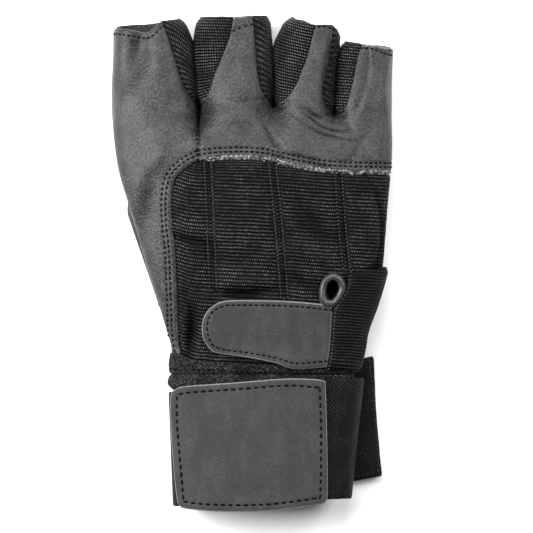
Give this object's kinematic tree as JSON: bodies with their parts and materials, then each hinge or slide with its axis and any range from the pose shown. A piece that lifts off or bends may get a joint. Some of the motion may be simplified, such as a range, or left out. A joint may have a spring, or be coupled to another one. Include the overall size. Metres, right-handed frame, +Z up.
{
  "type": "weightlifting glove",
  "caption": "Half-finger padded training glove with knit back, hook-and-loop closure tab and a wide elastic wrist strap wound round the cuff.",
  "frame": {"origin": "centre of the bounding box in plan, at the level of the surface the glove lies on", "axes": "+Z up from the table with the back of the hand on top, +Y from the wrist to the fingers, +X to the little-finger side"},
  "size_m": [0.1128, 0.1988, 0.031],
  "materials": {
    "leather": "soft grained leather, low sheen",
    "nubuck": "matt brushed nubuck",
    "smooth_leather": "smooth thin leather",
    "knit": "ribbed stretch knit",
    "loop_knit": "loop-pile terry knit",
    "elastic": "woven elastic webbing"
  },
  "bodies": {
    "root": {"palm_leather": "leather", "thumb_side_leather": "leather", "knuckle_leather": "leather", "index_middle_web": "knit", "middle_ring_web": "knit", "ring_little_web": "knit", "back_panel": "knit", "keyhole_lining": "smooth_leather", "closure_tab": "nubuck", "side_flap": "elastic", "wrist_cuff": "loop_knit", "thumb_sleeve": "leather", "wrist_strap": "elastic", "strap_patch": "nubuck"}
  },
  "joints": []
}
